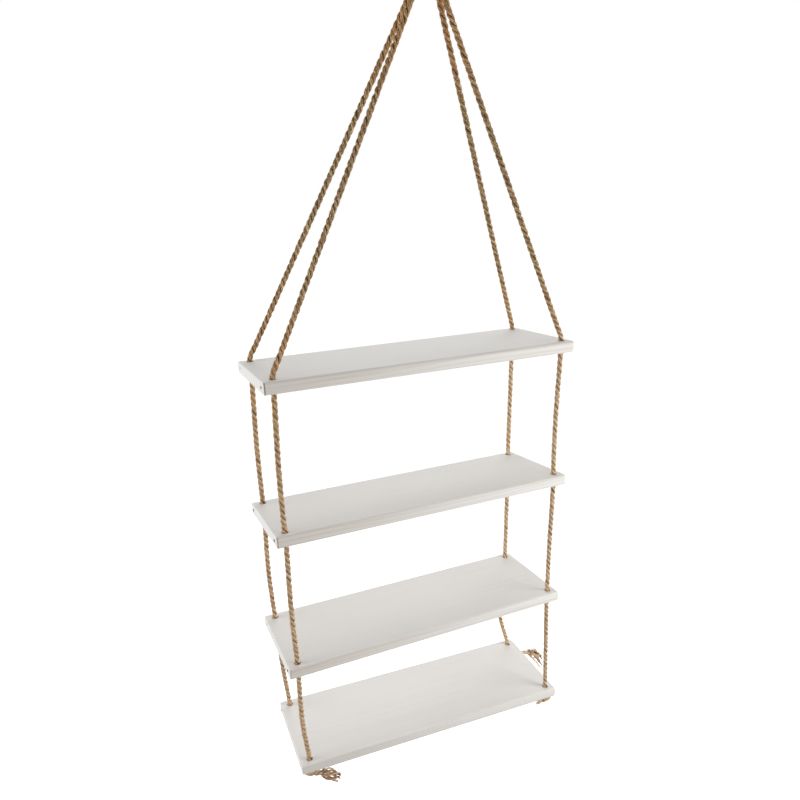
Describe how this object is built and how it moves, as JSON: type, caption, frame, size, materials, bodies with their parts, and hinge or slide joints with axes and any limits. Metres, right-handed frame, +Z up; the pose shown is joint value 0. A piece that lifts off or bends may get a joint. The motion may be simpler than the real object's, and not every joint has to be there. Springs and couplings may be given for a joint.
{
  "type": "rope hanging shelf",
  "caption": "Hanging shelf: painted wooden boards one above the other, threaded near their corners on twisted ropes that gather at the top.",
  "frame": {"origin": "the hanging point: the middle of the underside of the two rope bends, where they rest on the hook or peg that holds the shelf", "axes": "+Z up, +X along the boards towards their right end, -Y towards the front of the shelf"},
  "size_m": [0.6993, 0.2348, 1.4649],
  "materials": {
    "board": "matt white paint with the grain faintly showing",
    "rope": "twisted natural fibre",
    "nail": "dull brown head"
  },
  "bodies": {
    "root": {"board_top": "board", "board_upper": "board", "board_lower": "board", "board_bottom": "board", "rope_front": "rope", "rope_back": "rope", "nail_top_left_front": "nail", "nail_top_left_back": "nail", "nail_top_right_front": "nail", "nail_top_right_back": "nail", "nail_upper_left_front": "nail", "nail_upper_left_back": "nail", "nail_upper_right_front": "nail", "nail_upper_right_back": "nail", "nail_lower_left_front": "nail", "nail_lower_left_back": "nail", "nail_lower_right_front": "nail", "nail_lower_right_back": "nail", "nail_bottom_left_front": "nail", "nail_bottom_left_back": "nail", "nail_bottom_right_front": "nail", "nail_bottom_right_back": "nail"}
  },
  "joints": []
}
